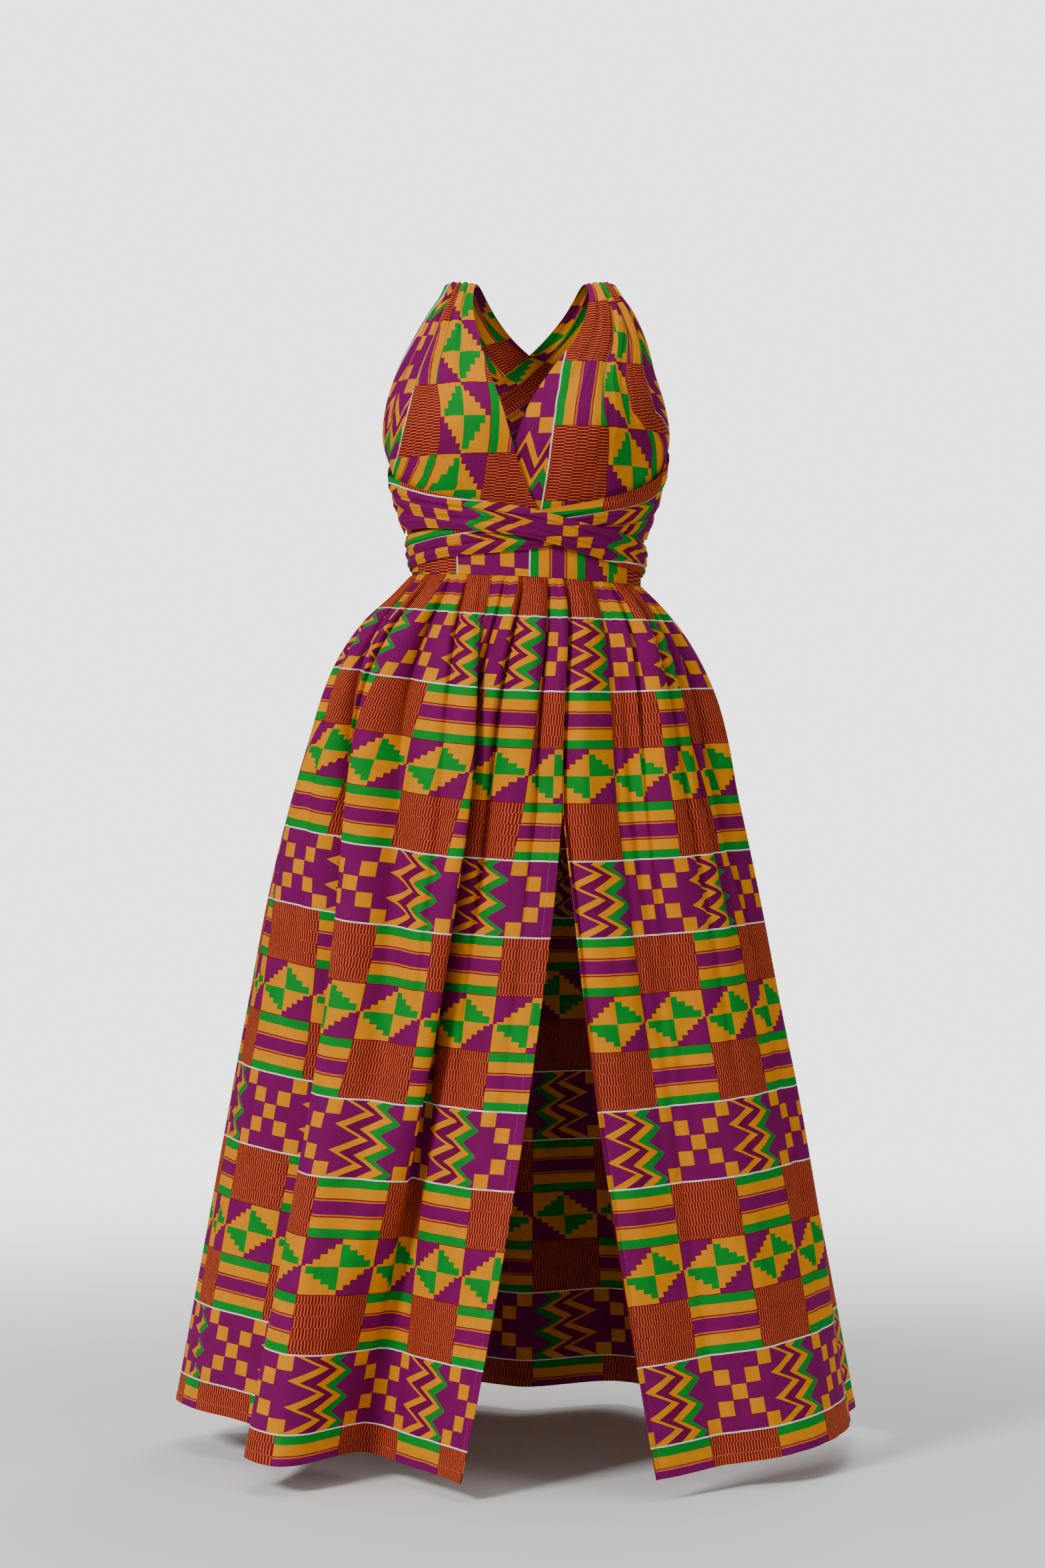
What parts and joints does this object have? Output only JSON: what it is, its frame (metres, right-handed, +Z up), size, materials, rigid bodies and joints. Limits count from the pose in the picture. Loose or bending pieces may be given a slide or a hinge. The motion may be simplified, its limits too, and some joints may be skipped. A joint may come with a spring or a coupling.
{
  "type": "kente print wrap dress, worn form on a general figure",
  "caption": "Floor-length wrap dress in kente print cotton, hollow as worn: gathered skirt with a front slit, waistband, strap bodice and crossed waist wraps tied behind.",
  "frame": {"origin": "middle of the line where the two straps rest on the shoulders", "axes": "+Z up, -Y towards the front of the dress, +X towards the wearer's left"},
  "size_m": [0.8563, 0.6408, 1.4303],
  "materials": {
    "kente_cotton": "matte wax-printed cotton in yellow, green, purple, maroon and salmon"
  },
  "bodies": {
    "root": {"skirt_front_left": "kente_cotton", "skirt_front_right": "kente_cotton", "skirt_back": "kente_cotton", "pocket_bag": "kente_cotton", "waistband": "kente_cotton", "bodice_right": "kente_cotton", "bodice_left": "kente_cotton", "back_strap_right": "kente_cotton", "back_strap_left": "kente_cotton", "wrap_front_over": "kente_cotton", "wrap_front_under": "kente_cotton", "wrap_back_over": "kente_cotton", "wrap_back_under": "kente_cotton", "knot": "kente_cotton", "tail_left": "kente_cotton", "tail_right": "kente_cotton"}
  },
  "joints": []
}
